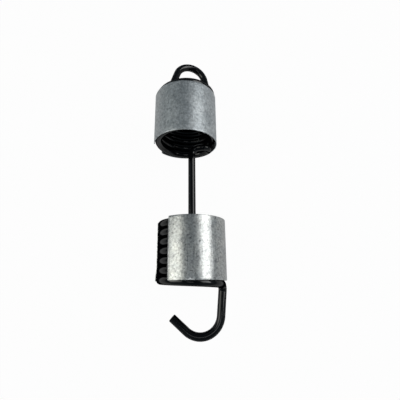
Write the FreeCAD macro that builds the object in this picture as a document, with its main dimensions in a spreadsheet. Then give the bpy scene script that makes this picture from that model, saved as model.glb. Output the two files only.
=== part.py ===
import FreeCAD, Part
import Sketcher
import math
import os
from FreeCAD import Placement, Rotation, Vector

# Brake shoe return spring: one bent wire, with an open hook, two coils joined by a straight
# shank and a nearly closed loop, and a split sheet sleeve clipped round each coil.
# It lies on its sleeves with the coil axes along Y, the hook towards -Y and the loop towards +Y.
# Lengths are in millimetres and angles in degrees. An angle round a coil runs from +X over the
# top, +Z, to -X. The lower coil climbs along +Y as it grows, and the upper one, wound the other
# way round, as it shrinks.

sizes = (
    ("wire_diameter", 4.0),
    ("turn_gap", 0.5),
    ("coil_outer_diameter", 34.0),
    ("coil_offset", 3.0),
    ("lower_coil_proud", 3.5),
    ("lower_curl_proud", 0.37),
    ("upper_coil_proud", 4.2),
    ("upper_curl_proud", 1.57),
    ("sleeve_length", 29.4),
    ("sleeve_gap", 44.0),
    ("sheet_thickness", 0.4),
    ("sleeve_clearance", 0.1),
    ("sleeve_corner_radius", 0.8),
    ("lower_slit_angle", 126.0),
    ("lower_slit_open_angle", 58.0),
    ("upper_slit_angle", 175.0),
    ("upper_slit_open_angle", 38.0),
    ("shank_offset", 0.4),
    ("shank_drop", 4.3),
    ("shank_elbow_reach", 4.0),
    ("curl_reach", 9.9),
    ("leg_elbow_reach", 3.5),
    ("hook_angle", 4.5),
    ("hook_length", 27.2),
    ("hook_radius", 10.0),
    ("hook_offset", 4.1),
    ("hook_end_angle", 131.0),
    ("hook_tail", 9.1),
    ("loop_angle", -19.5),
    ("loop_length", 25.9),
    ("loop_radius", 8.9),
    ("loop_offset", 3.3),
    ("loop_end_angle", 162.0),
    ("loop_tail", 12.0),
)

doc = FreeCAD.newDocument("brake_shoe_return_spring")
sheet = doc.addObject("Spreadsheet::Sheet", "sizes")
for row, (alias, number) in enumerate(sizes, start=1):
    sheet.set(f"A{row}", alias)
    sheet.set(f"B{row}", str(number))
    sheet.setAlias(f"B{row}", alias)
doc.recompute()

# What follows from the driving sizes: radii, the coils' turns, which fill each sleeve and stand proud
# of its ends by a little, the two coil axes and the sleeves' ends along Y.
wire_radius = sheet.wire_diameter / 2
coil_radius = sheet.coil_outer_diameter / 2 - wire_radius
coil_pitch = sheet.wire_diameter + sheet.turn_gap
full_sleeve = sheet.sleeve_length - sheet.wire_diameter
lower_turns = (full_sleeve + sheet.lower_coil_proud + sheet.lower_curl_proud) / coil_pitch
upper_turns = (full_sleeve + sheet.upper_coil_proud + sheet.upper_curl_proud) / coil_pitch
sleeve_radius = sheet.coil_outer_diameter / 2 + sheet.sleeve_clearance + sheet.sheet_thickness
overall_length = sheet.hook_length + 2 * sheet.sleeve_length + sheet.sleeve_gap + sheet.loop_length
lower_axis = Vector(sheet.coil_offset / 2, 0, sleeve_radius)
upper_axis = Vector(-sheet.coil_offset / 2, 0, sleeve_radius)
lower_edge = sheet.hook_length - overall_length / 2
lower_rim = lower_edge + sheet.sleeve_length
upper_rim = lower_rim + sheet.sleeve_gap
upper_edge = upper_rim + sheet.sleeve_length

along = Vector(0, 1, 0)
full_turn = 2 * math.pi
lower_hand = 1
upper_hand = -1
touching = 1e-6


# The wire's path is a chain of short chords, so that its many turns stay light: every point lies
# on the wire's true centre line, and no chord of a round stretch turns by more than chord_turn.
# Its round section is drawn with wire_flats flats.
wire_flats = 12
coil_chords = 22
chord_turn = full_turn / coil_chords


def arc_points(first, middle, last, turn):
    arc = Part.Arc(first, middle, last).toShape()
    return arc.discretize(Number=math.ceil(turn / chord_turn) + 1)


def bend(before, corner, after, reach):
    # The arc that rounds a corner and begins at this reach from it.
    back = (before - corner).normalize()
    ahead = (after - corner).normalize()
    half = back.getAngle(ahead) / 2
    middle = (back + ahead).normalize() * (reach / math.cos(half) - reach * math.tan(half))
    return arc_points(corner + back * reach, corner + middle, corner + ahead * reach, math.pi - 2 * half)


def outward(angle):
    return Vector(math.cos(angle), 0, math.sin(angle))


def coil(axis, first_angle, turns, first_y, hand):
    count = math.ceil(turns * coil_chords)
    points = []
    for i in range(count + 1):
        part_turns = turns * i / count
        on_axis = axis + along * (first_y + part_turns * coil_pitch)
        points.append(on_axis + outward(first_angle + hand * part_turns * full_turn) * coil_radius)
    return points


def climb(angle, hand):
    # The direction in which the wire climbs at this angle round a coil.
    sideways = outward(angle + hand * full_turn / 4) * coil_radius
    return (sideways + along * (coil_pitch / full_turn)).normalize()


def end_form(coil_end, heading, axis, edge_y, away, length, radius, offset, end_angle, tail):
    # From the coil: an elbow, a leg that runs tangent into a round bend, and a straight tail.
    foot = coil_end + heading * sheet.leg_elbow_reach
    aside = Vector(foot.x - axis.x, 0, foot.z - axis.z).normalize()
    centre = axis + along * edge_y + aside * offset + away * (length - wire_radius - radius)

    def on_bend(angle):
        return centre + (aside * math.cos(angle) + away * math.sin(angle)) * radius

    foot_aside = (foot - centre).dot(aside)
    foot_away = (foot - centre).dot(away)
    first = math.atan2(foot_away, foot_aside) + math.acos(radius / math.hypot(foot_aside, foot_away))
    last = math.radians(end_angle)
    round_bend = arc_points(on_bend(first), on_bend((first + last) / 2), on_bend(last), last - first)
    tip = round_bend[-1] + (away * math.cos(last) - aside * math.sin(last)) * tail
    return bend(coil_end, foot, round_bend[0], sheet.leg_elbow_reach) + round_bend + [tip]


# The coils: each stands proud of its sleeve at the hook or loop, and by its own amount at the shank.
elbow_angle = math.atan2(sheet.leg_elbow_reach, coil_radius)
lower_first = math.radians(sheet.hook_angle) + lower_hand * elbow_angle
lower_last = lower_first + lower_hand * lower_turns * full_turn
lower_first_y = lower_edge - sheet.lower_coil_proud + wire_radius
lower_coil = coil(lower_axis, lower_first, lower_turns, lower_first_y, lower_hand)
upper_last = math.radians(sheet.loop_angle) - upper_hand * elbow_angle
upper_first = upper_last - upper_hand * upper_turns * full_turn
upper_first_y = upper_rim - sheet.upper_curl_proud + wire_radius
upper_coil = coil(upper_axis, upper_first, upper_turns, upper_first_y, upper_hand)

# The hook and the loop.
hook = end_form(
    lower_coil[0], -climb(lower_first, lower_hand), lower_axis, lower_edge, -along,
    sheet.hook_length, sheet.hook_radius, sheet.hook_offset, sheet.hook_end_angle, sheet.hook_tail,
)
loop = end_form(
    upper_coil[-1], climb(upper_last, upper_hand), upper_axis, upper_edge, along,
    sheet.loop_length, sheet.loop_radius, sheet.loop_offset, sheet.loop_end_angle, sheet.loop_tail,
)

# The shank: each coil's end curls in towards the shank's line, and an elbow turns it along Y.
shank_line = Vector(lower_axis.x + sheet.shank_offset, 0, lower_axis.z - sheet.shank_drop)
lower_corner = lower_coil[-1] + climb(lower_last, lower_hand) * sheet.curl_reach
upper_corner = upper_coil[0] - climb(upper_first, upper_hand) * sheet.curl_reach
lower_foot = shank_line + along * lower_corner.y
upper_foot = shank_line + along * upper_corner.y


def curl(before, corner, foot):
    # The curl is as wide as its reach, or as the run to the shank's elbow leaves room for.
    room = corner.distanceToPoint(foot) - sheet.shank_elbow_reach
    return bend(before, corner, foot, min(sheet.curl_reach, room))


shank = (
    curl(lower_coil[-1], lower_corner, lower_foot)
    + bend(lower_corner, lower_foot, upper_foot, sheet.shank_elbow_reach)
    + bend(lower_foot, upper_foot, upper_corner, sheet.shank_elbow_reach)
    + curl(upper_coil[0], upper_corner, upper_foot)[::-1]
)

stretches = hook[::-1] + lower_coil + shank + upper_coil + loop
path_points = [stretches[0]]
for point in stretches[1:]:
    if not point.isEqual(path_points[-1], touching):
        path_points.append(point)

# The wire: a polygon inside the round section stands square to the path at every point, each turned
# from the one before it with no twist, and the wire is drawn straight from one to the next.
corner_angles = [full_turn * i / wire_flats for i in range(wire_flats + 1)]
section_corners = [Vector(math.cos(a), math.sin(a), 0) * wire_radius for a in corner_angles]
sections = []
facing = Vector(0, 0, 1)
turned = Rotation()
for i, point in enumerate(path_points):
    before = path_points[max(i - 1, 0)]
    after = path_points[min(i + 1, len(path_points) - 1)]
    direction = (after - before).normalize()
    turned = Rotation(facing, direction) * turned
    facing = direction
    sections.append(Part.makePolygon([point + turned.multVec(corner) for corner in section_corners]))

spring_wire = doc.addObject("Part::Feature", "spring_wire")
spring_wire.Shape = Part.makeLoft(sections, True, True)
spring_wire.Label = "spring_wire"


def sleeve(name, axis, first_y, slit):
    # A sheet rolled round the coil: its section is turned about the axis and stops short at the slit.
    body = doc.addObject("PartDesign::Body", name)
    plane = next(f for f in body.Origin.OriginFeatures if f.Role == "XY_Plane")
    sketch = body.newObject("Sketcher::SketchObject", f"{name}_section")
    sketch.AttachmentSupport = [(plane, "")]
    sketch.MapMode = "FlatFace"
    inner = sleeve_radius - sheet.sheet_thickness
    corners = (
        Vector(inner, 0, 0),
        Vector(sleeve_radius, 0, 0),
        Vector(sleeve_radius, sheet.sleeve_length, 0),
        Vector(inner, sheet.sleeve_length, 0),
    )
    sides = len(corners)
    for i in range(sides):
        sketch.addGeometry(Part.LineSegment(corners[i], corners[(i + 1) % sides]))
    for i in range(sides):
        sketch.addConstraint(Sketcher.Constraint("Coincident", i, 2, (i + 1) % sides, 1))
        sketch.addConstraint(Sketcher.Constraint("Vertical" if i % 2 else "Horizontal", i))
    sketch.addConstraint(Sketcher.Constraint("PointOnObject", 0, 1, -1))
    bound = (
        ("inner_radius", Sketcher.Constraint("DistanceX", -1, 1, 0, 1, inner),
         "sizes.coil_outer_diameter / 2 + sizes.sleeve_clearance"),
        ("thickness", Sketcher.Constraint("DistanceX", 0, 1, 0, 2, sheet.sheet_thickness),
         "sizes.sheet_thickness"),
        ("length", Sketcher.Constraint("DistanceY", 1, 1, 1, 2, sheet.sleeve_length),
         "sizes.sleeve_length"),
    )
    for label, constraint, expression in bound:
        sketch.renameConstraint(sketch.addConstraint(constraint), label)
        sketch.setExpression(f"Constraints.{label}", expression)

    rolled = body.newObject("PartDesign::Revolution", f"{name}_rolled")
    rolled.Profile = sketch
    rolled.ReferenceAxis = (sketch, ["V_Axis"])
    rolled.setExpression("Angle", f"360 - sizes.{slit}_open_angle")
    doc.recompute()

    rounded = body.newObject("PartDesign::Fillet", f"{name}_corners")
    through = [
        f"Edge{i}"
        for i, edge in enumerate(rolled.Shape.Edges, start=1)
        if isinstance(edge.Curve, Part.Line) and abs(edge.Curve.Direction.dot(along)) < touching
    ]
    rounded.Base = (rolled, through)
    rounded.setExpression("Radius", "sizes.sleeve_corner_radius")
    body.Tip = rounded

    body.Placement = Placement(axis + along * first_y, Rotation(-along, 1))
    body.setExpression("Placement.Rotation.Angle", f"sizes.{slit}_angle")
    body.Label = name
    return body


lower_sleeve = sleeve("lower_sleeve", lower_axis, lower_edge, "lower_slit")
upper_sleeve = sleeve("upper_sleeve", upper_axis, upper_rim, "upper_slit")
doc.recompute()

for item in doc.Objects:
    if "Invalid" in item.State or "Error" in item.State:
        raise RuntimeError(f"{item.Label} failed to build")

os.makedirs("parts", exist_ok=True)
for item in (spring_wire, lower_sleeve, upper_sleeve):
    if item.Shape.isNull() or not item.Shape.isValid():
        raise RuntimeError(f"{item.Label} has no valid shape")
    item.Shape.exportStep(f"parts/{item.Label}.step")
    print(item.Label, round(item.Shape.Volume, 1), "mm3", item.Shape.BoundBox)

print("turns", round(lower_turns, 2), round(upper_turns, 2))
print("wire length", round(Part.makePolygon(path_points).Length, 1))
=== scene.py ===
import math
import bpy
from mathutils import Matrix, Vector


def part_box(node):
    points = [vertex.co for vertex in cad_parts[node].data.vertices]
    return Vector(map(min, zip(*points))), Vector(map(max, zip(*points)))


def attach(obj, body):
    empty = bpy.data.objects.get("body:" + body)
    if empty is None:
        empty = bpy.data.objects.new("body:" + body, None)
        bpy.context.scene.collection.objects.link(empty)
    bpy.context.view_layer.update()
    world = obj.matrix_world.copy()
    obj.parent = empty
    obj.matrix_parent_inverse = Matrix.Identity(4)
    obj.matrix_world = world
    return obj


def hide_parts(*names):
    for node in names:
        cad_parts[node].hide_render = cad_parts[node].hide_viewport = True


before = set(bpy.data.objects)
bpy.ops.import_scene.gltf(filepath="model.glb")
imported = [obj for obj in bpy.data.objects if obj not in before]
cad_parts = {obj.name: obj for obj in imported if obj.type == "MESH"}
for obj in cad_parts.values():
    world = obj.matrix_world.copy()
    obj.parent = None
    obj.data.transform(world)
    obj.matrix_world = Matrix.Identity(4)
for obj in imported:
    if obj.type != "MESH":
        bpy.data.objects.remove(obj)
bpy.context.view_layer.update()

# lengths are in metres and angles in degrees; the coils lie along Y, the hook at -Y and the loop at +Y
alongY = Vector((0, 1, 0))
fullTurn = 2 * math.pi
smoothAngle = math.radians(40)
plainWhite = (1, 1, 1)
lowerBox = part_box("lower_sleeve")
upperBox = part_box("upper_sleeve")
sleeveRadius = lowerBox[1].z / 2
lowerAxis = Vector((lowerBox[1].x - sleeveRadius, 0, sleeveRadius))
upperAxis = Vector((upperBox[1].x - sleeveRadius, 0, sleeveRadius))
print("frame loaded,", len(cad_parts), "nodes, sleeve radius", round(sleeveRadius, 5))


def deselectAll():
    if bpy.context.mode != "OBJECT":
        bpy.ops.object.mode_set(mode="OBJECT")
    bpy.ops.object.select_all(action="DESELECT")


def makeActive(piece):
    deselectAll()
    piece.select_set(True)
    bpy.context.view_layer.objects.active = piece


def applyModifiers(piece):
    makeActive(piece)
    for name in [modifier.name for modifier in piece.modifiers]:
        bpy.ops.object.modifier_apply(modifier=name)


def dress(piece, material):
    piece.data.materials.clear()
    piece.data.materials.append(material)
    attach(piece, "root")


def newMaterial(name):
    material = bpy.data.materials.new(name)
    material.use_nodes = True
    tree = material.node_tree
    tree.nodes.clear()
    output = tree.nodes.new("ShaderNodeOutputMaterial")
    shader = tree.nodes.new("ShaderNodeBsdfPrincipled")
    tree.links.new(shader.outputs["BSDF"], output.inputs["Surface"])
    return material, tree, shader


def stretched(tree, scale):
    # object coordinates, stretched differently along each axis
    place = tree.nodes.new("ShaderNodeTexCoord")
    mapping = tree.nodes.new("ShaderNodeMapping")
    mapping.inputs["Scale"].default_value = scale
    tree.links.new(place.outputs["Object"], mapping.inputs["Vector"])
    return mapping.outputs["Vector"]


def noise(tree, vector, scale, detail, roughness=0.5):
    node = tree.nodes.new("ShaderNodeTexNoise")
    node.inputs["Scale"].default_value = scale
    node.inputs["Detail"].default_value = detail
    node.inputs["Roughness"].default_value = roughness
    tree.links.new(vector, node.inputs["Vector"])
    return node.outputs["Fac"]


def ramp(tree, value, stops):
    node = tree.nodes.new("ShaderNodeValToRGB")
    elements = node.color_ramp.elements
    while len(elements) < len(stops):
        elements.new(0.5)
    for element, (position, colour) in zip(elements, stops):
        element.position = position
        element.color = (*colour, 1)
    tree.links.new(value, node.inputs["Fac"])
    return node.outputs["Color"]


def spread(tree, value, low, high, toLow, toHigh):
    node = tree.nodes.new("ShaderNodeMapRange")
    node.inputs["From Min"].default_value = low
    node.inputs["From Max"].default_value = high
    node.inputs["To Min"].default_value = toLow
    node.inputs["To Max"].default_value = toHigh
    tree.links.new(value, node.inputs["Value"])
    return node.outputs["Result"]


def bump(tree, height, distance, strength, below=None):
    node = tree.nodes.new("ShaderNodeBump")
    node.inputs["Distance"].default_value = distance
    node.inputs["Strength"].default_value = strength
    tree.links.new(height, node.inputs["Height"])
    if below is not None:
        tree.links.new(below, node.inputs["Normal"])
    return node.outputs["Normal"]


def mixColours(tree, factor, first, second, blend="MIX", share=1.0):
    node = tree.nodes.new("ShaderNodeMix")
    node.data_type = "RGBA"
    node.blend_type = blend
    colourInputs = [socket for socket in node.inputs if socket.type == "RGBA"]
    node.inputs["Factor"].default_value = share
    if factor is not None:
        tree.links.new(factor, node.inputs["Factor"])
    tree.links.new(first, colourInputs[0])
    tree.links.new(second, colourInputs[1])
    return [socket for socket in node.outputs if socket.type == "RGBA"][0]


# the wire: one run of hook, lower coil, shank, upper coil and loop

springWire = {
    "wireDiameter": 0.004,
    "turnGap": 0.0005,
    "coilOuterDiameter": 0.034,
    "lowerCoilProud": 0.0035,
    "lowerCurlProud": 0.00037,
    "upperCoilProud": 0.0042,
    "upperCurlProud": 0.00157,
    "lowerHand": 1,  # 1 where a coil climbs as its angle grows, -1 where it is wound the other way round
    "upperHand": -1,
    "shankOffset": 0.0004,
    "shankDrop": 0.0043,
    "shankElbowReach": 0.004,
    "curlReach": 0.0099,
    "legElbowReach": 0.0035,
    "hookAngle": 4.5,
    "hookLength": 0.0271,
    "hookRadius": 0.010,
    "hookOffset": 0.0041,
    "hookEndAngle": 131,
    "hookTail": 0.0091,
    "loopAngle": -19.5,
    "loopLength": 0.02584,
    "loopRadius": 0.0089,
    "loopOffset": 0.0033,
    "loopEndAngle": 162,
    "loopTail": 0.012,
    "chordTurn": 5.0,  # degrees that one chord of a bend may turn
    "leastChord": 0.00002,
    "bevelResolution": 10,
    "endRounding": 0.00025,
    "mergeDistance": 0.000002,
}

wireRadius = springWire["wireDiameter"] / 2
coilRadius = springWire["coilOuterDiameter"] / 2 - wireRadius
coilPitch = springWire["wireDiameter"] + springWire["turnGap"]


def outward(angle):
    return Vector((math.cos(angle), 0, math.sin(angle)))


def climb(angle, hand):
    sideways = outward(angle + hand * fullTurn / 4) * coilRadius
    return (sideways + alongY * (coilPitch / fullTurn)).normalized()


def arcPoints(centre, start, heading, sweep):
    # start is the arc's first point, heading its direction there
    spoke = start - centre
    across = heading.normalized() * spoke.length
    count = max(2, math.ceil(sweep / math.radians(springWire["chordTurn"])))
    turns = [sweep * i / count for i in range(count + 1)]
    return [centre + spoke * math.cos(turn) + across * math.sin(turn) for turn in turns]


def bendPoints(before, corner, after, reach):
    back = (before - corner).normalized()
    ahead = (after - corner).normalized()
    half = back.angle(ahead) / 2
    centre = corner + (back + ahead).normalized() * (reach / math.cos(half))
    return arcPoints(centre, corner + back * reach, -back, math.pi - 2 * half)


def coilPoints(axis, firstAngle, turns, firstY, hand):
    count = math.ceil(turns * 360 / springWire["chordTurn"])
    points = []
    for i in range(count + 1):
        partTurns = turns * i / count
        onAxis = axis + alongY * (firstY + partTurns * coilPitch)
        points.append(onAxis + outward(firstAngle + hand * partTurns * fullTurn) * coilRadius)
    return points


def endPoints(coilEnd, heading, axis, edgeY, away, form):
    # elbow out of the coil, a leg that runs tangent into a round bend, and a straight tail
    reach = springWire["legElbowReach"]
    radius = springWire[form + "Radius"]
    foot = coilEnd + heading * reach
    aside = Vector((foot.x - axis.x, 0, foot.z - axis.z)).normalized()
    outTo = springWire[form + "Length"] - wireRadius - radius
    centre = axis + alongY * edgeY + aside * springWire[form + "Offset"] + away * outTo
    footAside = (foot - centre).dot(aside)
    footAway = (foot - centre).dot(away)
    first = math.atan2(footAway, footAside) + math.acos(radius / math.hypot(footAside, footAway))
    last = math.radians(springWire[form + "EndAngle"])
    start = centre + (aside * math.cos(first) + away * math.sin(first)) * radius
    roundBend = arcPoints(centre, start, away * math.cos(first) - aside * math.sin(first), last - first)
    tip = roundBend[-1] + (away * math.cos(last) - aside * math.sin(last)) * springWire[form + "Tail"]
    return bendPoints(coilEnd, foot, roundBend[0], reach) + roundBend + [tip]


def curlPoints(before, corner, foot):
    room = (corner - foot).length - springWire["shankElbowReach"]
    return bendPoints(before, corner, foot, min(springWire["curlReach"], room))


def wirePath():
    fullSleeve = lowerBox[1].y - lowerBox[0].y - springWire["wireDiameter"]
    lowerTurns = (fullSleeve + springWire["lowerCoilProud"] + springWire["lowerCurlProud"]) / coilPitch
    upperTurns = (fullSleeve + springWire["upperCoilProud"] + springWire["upperCurlProud"]) / coilPitch
    elbowAngle = math.atan2(springWire["legElbowReach"], coilRadius)
    lowerHand = springWire["lowerHand"]
    upperHand = springWire["upperHand"]
    lowerFirst = math.radians(springWire["hookAngle"]) + lowerHand * elbowAngle
    lowerLast = lowerFirst + lowerHand * lowerTurns * fullTurn
    lowerFirstY = lowerBox[0].y - springWire["lowerCoilProud"] + wireRadius
    lowerCoil = coilPoints(lowerAxis, lowerFirst, lowerTurns, lowerFirstY, lowerHand)
    upperLast = math.radians(springWire["loopAngle"]) - upperHand * elbowAngle
    upperFirst = upperLast - upperHand * upperTurns * fullTurn
    upperFirstY = upperBox[0].y - springWire["upperCurlProud"] + wireRadius
    upperCoil = coilPoints(upperAxis, upperFirst, upperTurns, upperFirstY, upperHand)

    hook = endPoints(lowerCoil[0], -climb(lowerFirst, lowerHand), lowerAxis, lowerBox[0].y, -alongY, "hook")
    loop = endPoints(upperCoil[-1], climb(upperLast, upperHand), upperAxis, upperBox[1].y, alongY, "loop")

    shankLine = Vector((lowerAxis.x + springWire["shankOffset"], 0, lowerAxis.z - springWire["shankDrop"]))
    lowerCorner = lowerCoil[-1] + climb(lowerLast, lowerHand) * springWire["curlReach"]
    upperCorner = upperCoil[0] - climb(upperFirst, upperHand) * springWire["curlReach"]
    lowerFoot = shankLine + alongY * lowerCorner.y
    upperFoot = shankLine + alongY * upperCorner.y
    elbow = springWire["shankElbowReach"]
    shank = (
        curlPoints(lowerCoil[-1], lowerCorner, lowerFoot)
        + bendPoints(lowerCorner, lowerFoot, upperFoot, elbow)
        + bendPoints(lowerFoot, upperFoot, upperCorner, elbow)
        + curlPoints(upperCoil[0], upperCorner, upperFoot)[::-1]
    )
    points = []
    for point in hook[::-1] + lowerCoil + shank + upperCoil + loop:
        if not points or (point - points[-1]).length > springWire["leastChord"]:
            points.append(point)
    return points


def addRoundedEnds(points):
    # a point just inside each cut end, so that the end can taper over that length
    rounding = springWire["endRounding"]
    first = points[0] + (points[1] - points[0]).normalized() * rounding
    last = points[-1] + (points[-2] - points[-1]).normalized() * rounding
    return [points[0], first] + points[1:-1] + [last, points[-1]]


def makeWire():
    points = addRoundedEnds(wirePath())
    deselectAll()
    bpy.ops.curve.primitive_nurbs_path_add()
    wire = bpy.context.active_object
    wire.name = "springWire"
    curve = wire.data
    curve.splines.clear()
    spline = curve.splines.new("POLY")
    spline.points.add(len(points) - 1)
    for place, point in zip(spline.points, points):
        place.co = (*point, 1)
    for end in (spline.points[0], spline.points[-1]):
        end.radius = 1 - springWire["endRounding"] / wireRadius
    curve.bevel_depth = wireRadius
    curve.bevel_resolution = springWire["bevelResolution"]
    curve.use_fill_caps = True
    makeActive(wire)
    bpy.ops.object.convert(target="MESH")
    bpy.ops.object.mode_set(mode="EDIT")
    bpy.ops.mesh.select_all(action="SELECT")
    bpy.ops.mesh.remove_doubles(threshold=springWire["mergeDistance"])
    bpy.ops.mesh.normals_make_consistent(inside=False)
    bpy.ops.object.mode_set(mode="OBJECT")
    bpy.ops.object.shade_smooth_by_angle(angle=smoothAngle)
    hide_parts("spring_wire")
    return wire


glossBlack = {
    "deepTone": (0.0012, 0.0013, 0.0017),
    "paleTone": (0.003, 0.0033, 0.004),
    "toneScale": 160,
    "roughness": (0.08, 0.15),
    "roughnessScale": 420,
    "noiseSpan": (0.3, 0.7),
    # how far it is turned from the eye, 0 square on and 1 edge-on, and how much it mirrors there
    "mirrorLevels": ((0.05, 0.2), (0.16, 0.45), (0.28, 0.2), (0.46, 0.3), (0.53, 0.32), (0.62, 0)),
    "runScale": 380,
    "runHeight": 0.00003,
    "runStrength": 0.25,
}


def blackPaint(look):
    material, tree, shader = newMaterial("blackPaint")
    even = stretched(tree, (1, 1, 1))
    low, high = look["noiseSpan"]
    clouds = noise(tree, even, look["toneScale"], detail=3)
    tone = ramp(tree, clouds, ((low, look["deepTone"]), (high, look["paleTone"])))
    tree.links.new(tone, shader.inputs["Base Color"])
    gloss = noise(tree, even, look["roughnessScale"], detail=4)
    tree.links.new(spread(tree, gloss, low, high, *look["roughness"]), shader.inputs["Roughness"])
    facing = tree.nodes.new("ShaderNodeLayerWeight")
    levels = [(turned, (level, level, level)) for turned, level in look["mirrorLevels"]]
    mirrored = ramp(tree, facing.outputs["Facing"], levels)
    tree.links.new(mirrored, shader.inputs["Specular IOR Level"])
    runs = noise(tree, even, look["runScale"], detail=2)
    tree.links.new(bump(tree, runs, look["runHeight"], look["runStrength"]), shader.inputs["Normal"])
    return material


wire = makeWire()
dress(wire, blackPaint(glossBlack))
print("wire made,", len(wire.data.polygons), "faces")


# the sleeves: zinc plated sheet, rolled and clipped round the coils

sheetSleeve = {
    "thickness": 0.0004,
    "cornerRadius": 0.0008,
    "cornerSegments": 4,
    "cornerGrip": 0.0012,  # what lies this near a sprung corner moves the whole way with it
    "edgeRounding": 0.00009,
    "edgeSegments": 2,
    "edgeAngle": 50,
    "roundSteps": 150,
    "rows": 30,
    "waveSize": 0.009,  # metres from one low spot of the rolled sheet to the next
    "waveDepth": 0.00005,
    "samePlace": 0.00004,
}
lowerSlit = {"angle": 126, "openAngle": 58, "flare": 0.0005, "flareReach": 0.006}
upperSlit = {"angle": 175, "openAngle": 38, "flare": 0.0, "flareReach": 0.006}


def selectVertices(piece, chosen):
    # leaves the piece in edit mode with only the chosen vertices selected
    makeActive(piece)
    bpy.ops.object.mode_set(mode="EDIT")
    bpy.ops.mesh.select_mode(type="VERT")
    bpy.ops.mesh.select_all(action="DESELECT")
    bpy.ops.object.mode_set(mode="OBJECT")
    for vertex in piece.data.vertices:
        vertex.select = chosen(vertex.co)
    bpy.ops.object.mode_set(mode="EDIT")


def makeSleeve(name, node, axis, slit):
    low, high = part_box(node)
    length = high.y - low.y
    start = math.radians(slit["angle"])
    covered = fullTurn - math.radians(slit["openAngle"])
    nearEdge = axis + outward(start) * sleeveRadius
    farEdge = axis + outward(start - covered) * sleeveRadius
    samePlace = sheetSleeve["samePlace"]

    # one straight edge of the sheet, spun round the coil's axis
    deselectAll()
    bpy.ops.mesh.primitive_plane_add(size=length, location=(nearEdge.x, (low.y + high.y) / 2, nearEdge.z))
    bpy.ops.object.transform_apply(location=True, rotation=False, scale=False)
    sleeve = bpy.context.active_object
    sleeve.name = name
    selectVertices(sleeve, lambda place: place.x < nearEdge.x)
    bpy.ops.mesh.delete(type="VERT")
    bpy.ops.mesh.select_all(action="SELECT")
    bpy.ops.transform.translate(value=(-length / 2, 0, 0))
    bpy.ops.mesh.subdivide(number_cuts=sheetSleeve["rows"])
    bpy.ops.mesh.select_all(action="SELECT")
    bpy.ops.mesh.spin(steps=sheetSleeve["roundSteps"], angle=-covered, center=axis, axis=alongY)

    # the sheet's four corners are rounded
    def isCorner(place):
        across = Vector((place.x, 0, place.z))
        fromSlit = min((across - edge).length for edge in (nearEdge, farEdge))
        fromRim = min(abs(place.y - low.y), abs(place.y - high.y))
        return max(fromSlit, fromRim) < samePlace

    selectVertices(sleeve, isCorner)
    bpy.ops.mesh.bevel(
        offset=sheetSleeve["cornerRadius"], segments=sheetSleeve["cornerSegments"], affect="VERTICES",
    )

    # the far corner at the hook's end is sprung outwards
    if slit["flare"]:
        corner = Vector((farEdge.x, low.y, farEdge.z))
        selectVertices(sleeve, lambda place: (place - corner).length < sheetSleeve["cornerGrip"])
        bpy.ops.transform.translate(
            value=outward(start - covered) * slit["flare"], use_proportional_edit=True,
            proportional_edit_falloff="SMOOTH", proportional_size=slit["flareReach"],
        )
    bpy.ops.mesh.select_all(action="SELECT")
    bpy.ops.mesh.remove_doubles(threshold=samePlace)
    bpy.ops.mesh.normals_make_consistent(inside=False)
    bpy.ops.object.mode_set(mode="OBJECT")

    # rolled a little unevenly, then given its thickness and its dressed edges
    waves = bpy.data.textures.new(name + "Waves", "CLOUDS")
    waves.noise_scale = sheetSleeve["waveSize"]
    uneven = sleeve.modifiers.new("uneven", "DISPLACE")
    uneven.texture = waves
    uneven.texture_coords = "LOCAL"
    uneven.mid_level = 1
    uneven.strength = sheetSleeve["waveDepth"]
    wall = sleeve.modifiers.new("wall", "SOLIDIFY")
    wall.thickness = sheetSleeve["thickness"]
    wall.offset = -1
    edges = sleeve.modifiers.new("edges", "BEVEL")
    edges.width = sheetSleeve["edgeRounding"]
    edges.segments = sheetSleeve["edgeSegments"]
    edges.limit_method = "ANGLE"
    edges.angle_limit = math.radians(sheetSleeve["edgeAngle"])
    applyModifiers(sleeve)
    bpy.ops.object.shade_smooth_by_angle(angle=smoothAngle)
    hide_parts(node)
    return sleeve


brightZinc = {
    "metallic": 0.85,
    "darkTone": (0.46, 0.475, 0.48),
    "paleTone": (0.575, 0.58, 0.565),
    "cloudScale": 230,
    "cloudSpan": (0.32, 0.68),
    "grainScale": 1000,
    "grainSpan": (0.34, 0.6),
    "grainTone": (0.5, 0.5, 0.5),
    "grainShare": 1.0,
    "grainHeight": 0.00005,
    "grainBump": 1.1,
    "streakScale": 1700,
    "streakStretch": 0.05,
    "streakSpan": (0.35, 0.62),
    "streakTone": (0.6, 0.61, 0.62),
    "streakShare": 0.4,
    "streakHeight": 0.00002,
    "streakBump": 0.5,
    "fleckScale": 950,
    "fleckSpan": (0.63, 0.67),
    "fleckTone": (0.1, 0.1, 0.105, 1),
    "fleckShare": 0.75,
    "roughness": (0.26, 0.37),
    "roughnessSpan": (0.3, 0.7),
}
dullZinc = dict(
    brightZinc,
    darkTone=(0.44, 0.47, 0.49),
    paleTone=(0.57, 0.595, 0.61),
    grainScale=800,
    grainShare=0.85,
    grainBump=0.85,
    streakStretch=0.25,
    streakShare=0.45,
    fleckSpan=(0.7, 0.74),
    roughness=(0.42, 0.54),
)


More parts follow.
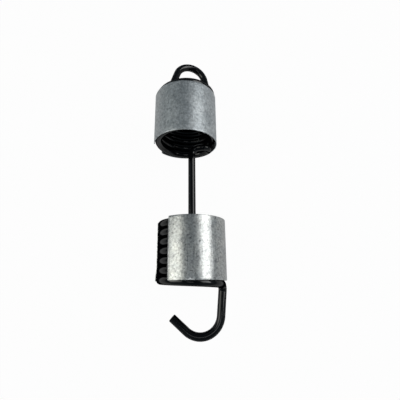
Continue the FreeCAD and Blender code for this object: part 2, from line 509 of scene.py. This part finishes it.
def zincSheet(name, look):
    material, tree, shader = newMaterial(name)
    shader.inputs["Metallic"].default_value = look["metallic"]
    even = stretched(tree, (1, 1, 1))
    lengthwise = stretched(tree, (1, look["streakStretch"], 1))

    # cloudy plating, with fine grain, streaks along the sleeve and a few dark flecks
    low, high = look["cloudSpan"]
    clouds = noise(tree, even, look["cloudScale"], detail=3, roughness=0.55)
    tone = ramp(tree, clouds, ((low, look["darkTone"]), (high, look["paleTone"])))
    low, high = look["grainSpan"]
    grain = noise(tree, even, look["grainScale"], detail=3, roughness=0.65)
    speckled = ramp(tree, grain, ((low, look["grainTone"]), (high, plainWhite)))
    grained = mixColours(tree, None, tone, speckled, "MULTIPLY", look["grainShare"])
    low, high = look["streakSpan"]
    streaks = noise(tree, lengthwise, look["streakScale"], detail=3, roughness=0.6)
    lined = ramp(tree, streaks, ((low, look["streakTone"]), (high, plainWhite)))
    streaked = mixColours(tree, None, grained, lined, "MULTIPLY", look["streakShare"])
    flecks = noise(tree, even, look["fleckScale"], detail=2)
    fleckShare = spread(tree, flecks, *look["fleckSpan"], 0, look["fleckShare"])
    fleckTone = tree.nodes.new("ShaderNodeRGB")
    fleckTone.outputs["Color"].default_value = look["fleckTone"]
    colour = mixColours(tree, fleckShare, streaked, fleckTone.outputs["Color"])
    tree.links.new(colour, shader.inputs["Base Color"])

    dullness = spread(tree, streaks, *look["roughnessSpan"], *look["roughness"])
    tree.links.new(dullness, shader.inputs["Roughness"])
    scored = bump(tree, streaks, look["streakHeight"], look["streakBump"])
    pitted = bump(tree, grain, look["grainHeight"], look["grainBump"], scored)
    tree.links.new(pitted, shader.inputs["Normal"])
    return material


lowerSleeve = makeSleeve("lowerSleeve", "lower_sleeve", lowerAxis, lowerSlit)
upperSleeve = makeSleeve("upperSleeve", "upper_sleeve", upperAxis, upperSlit)
dress(lowerSleeve, zincSheet("brightZinc", brightZinc))
dress(upperSleeve, zincSheet("dullZinc", dullZinc))
print("sleeves made,", len(lowerSleeve.data.polygons), "and", len(upperSleeve.data.polygons), "faces")


# the studio: a white floor, three soft boxes and a grey room

studio = {
    "floorSize": 6.0,
    "floorColour": (0.55, 0.55, 0.55, 1),
    "glowSeen": 0.97,  # how much of the floor is plain white to the eye; the rest takes light and shadow
    "glowMirrored": 0.35,  # the same in what mirrors it
    "roomTop": (0.09, 0.115, 0.135),
    "roomSide": (0.19, 0.225, 0.245),
    "roomSpan": (0.25, 0.5),  # where the top's tone turns to the sides', from 0 overhead to 1 level
    "roomStrength": 1.0,
}
softBoxes = (
    {"name": "leftBox", "place": (-0.532, -0.068, 0.459), "width": 0.4, "height": 0.54, "power": 2.0,
     "tint": (1, 0.99, 0.9)},
    {"name": "rightBox", "place": (0.53, 0.12, 0.48), "width": 0.6, "height": 0.39, "power": 2.9,
     "tint": (1, 1, 0.98)},
    {"name": "topBox", "place": (-0.02, -0.16, 0.58), "width": 0.2, "height": 0.08, "power": 0.2,
     "tint": (0.97, 0.99, 1)},
)


def scaled(tree, value, amount):
    node = tree.nodes.new("ShaderNodeMath")
    node.operation = "MULTIPLY"
    node.inputs[1].default_value = amount
    tree.links.new(value, node.inputs[0])
    return node.outputs["Value"]


def mixShaders(tree, factor, first, second, output):
    node = tree.nodes.new("ShaderNodeMixShader")
    tree.links.new(factor, node.inputs["Fac"])
    tree.links.new(first, node.inputs[1])
    tree.links.new(second, node.inputs[2])
    tree.links.new(node.outputs["Shader"], output.inputs["Surface"])


def makeFloor():
    deselectAll()
    bpy.ops.mesh.primitive_plane_add(size=studio["floorSize"])
    floor = bpy.context.active_object
    floor.name = "floor"
    material = bpy.data.materials.new("paleFloor")
    material.use_nodes = True
    tree = material.node_tree
    tree.nodes.clear()
    output = tree.nodes.new("ShaderNodeOutputMaterial")
    matt = tree.nodes.new("ShaderNodeBsdfDiffuse")
    matt.inputs["Color"].default_value = studio["floorColour"]
    glow = tree.nodes.new("ShaderNodeEmission")
    rays = tree.nodes.new("ShaderNodeLightPath")
    share = tree.nodes.new("ShaderNodeMath")
    share.operation = "MAXIMUM"
    tree.links.new(scaled(tree, rays.outputs["Is Camera Ray"], studio["glowSeen"]), share.inputs[0])
    tree.links.new(scaled(tree, rays.outputs["Is Glossy Ray"], studio["glowMirrored"]), share.inputs[1])
    mixShaders(tree, share.outputs["Value"], matt.outputs["BSDF"], glow.outputs["Emission"], output)
    floor.data.materials.append(material)


def makeRoom():
    # white to the eye; in the metal it is darker overhead along the coils and paler to both sides
    world = bpy.data.worlds.new("room")
    bpy.context.scene.world = world
    world.use_nodes = True
    tree = world.node_tree
    grey = tree.nodes["Background"]
    grey.inputs["Strength"].default_value = studio["roomStrength"]
    place = tree.nodes.new("ShaderNodeTexCoord")
    split = tree.nodes.new("ShaderNodeSeparateXYZ")
    tree.links.new(place.outputs["Generated"], split.inputs["Vector"])
    side = tree.nodes.new("ShaderNodeMath")
    side.operation = "ABSOLUTE"
    tree.links.new(split.outputs["X"], side.inputs[0])
    low, high = studio["roomSpan"]
    tone = ramp(tree, side.outputs["Value"], ((low, studio["roomTop"]), (high, studio["roomSide"])))
    tree.links.new(tone, grey.inputs["Color"])
    white = tree.nodes.new("ShaderNodeBackground")
    white.inputs["Color"].default_value = (*plainWhite, 1)
    rays = tree.nodes.new("ShaderNodeLightPath")
    output = tree.nodes["World Output"]
    shaders = grey.outputs["Background"], white.outputs["Background"]
    mixShaders(tree, rays.outputs["Is Camera Ray"], *shaders, output)


def makeSoftBoxes():
    aim = Vector((0, 0, sleeveRadius))
    for box in softBoxes:
        deselectAll()
        bpy.ops.object.light_add(type="AREA", location=box["place"])
        lamp = bpy.context.active_object
        lamp.name = box["name"]
        lamp.data.shape = "RECTANGLE"
        lamp.data.size = box["width"]
        lamp.data.size_y = box["height"]
        lamp.data.energy = box["power"]
        lamp.data.color = box["tint"]
        lamp.rotation_euler = (aim - Vector(box["place"])).to_track_quat("-Z", "Y").to_euler()
        lamp.visible_camera = False


makeFloor()
makeRoom()
makeSoftBoxes()
print("studio made")


# the camera, above the hook's end and looking down towards the loop

view = {
    "place": (0.00596, -0.05385, 0.16456),
    "pitch": 0.2928,  # in radians, as are roll and yaw: how far the view leans from straight down
    "roll": -0.0123,
    "yaw": -0.0022,
    "lens": 26.1,
    "sensor": 36.0,
    "nearClip": 0.005,
}


def makeCamera():
    deselectAll()
    bpy.ops.object.camera_add(location=view["place"])
    camera = bpy.context.active_object
    turn = (
        Matrix.Rotation(view["yaw"], 3, "Y")
        @ Matrix.Rotation(view["pitch"], 3, "X")
        @ Matrix.Rotation(view["roll"], 3, "Z")
    )
    camera.rotation_euler = turn.to_euler()
    camera.data.lens = view["lens"]
    camera.data.sensor_width = view["sensor"]
    camera.data.clip_start = view["nearClip"]
    bpy.context.scene.camera = camera


makeCamera()
bpy.context.scene.view_settings.view_transform = "Standard"
print("camera made")
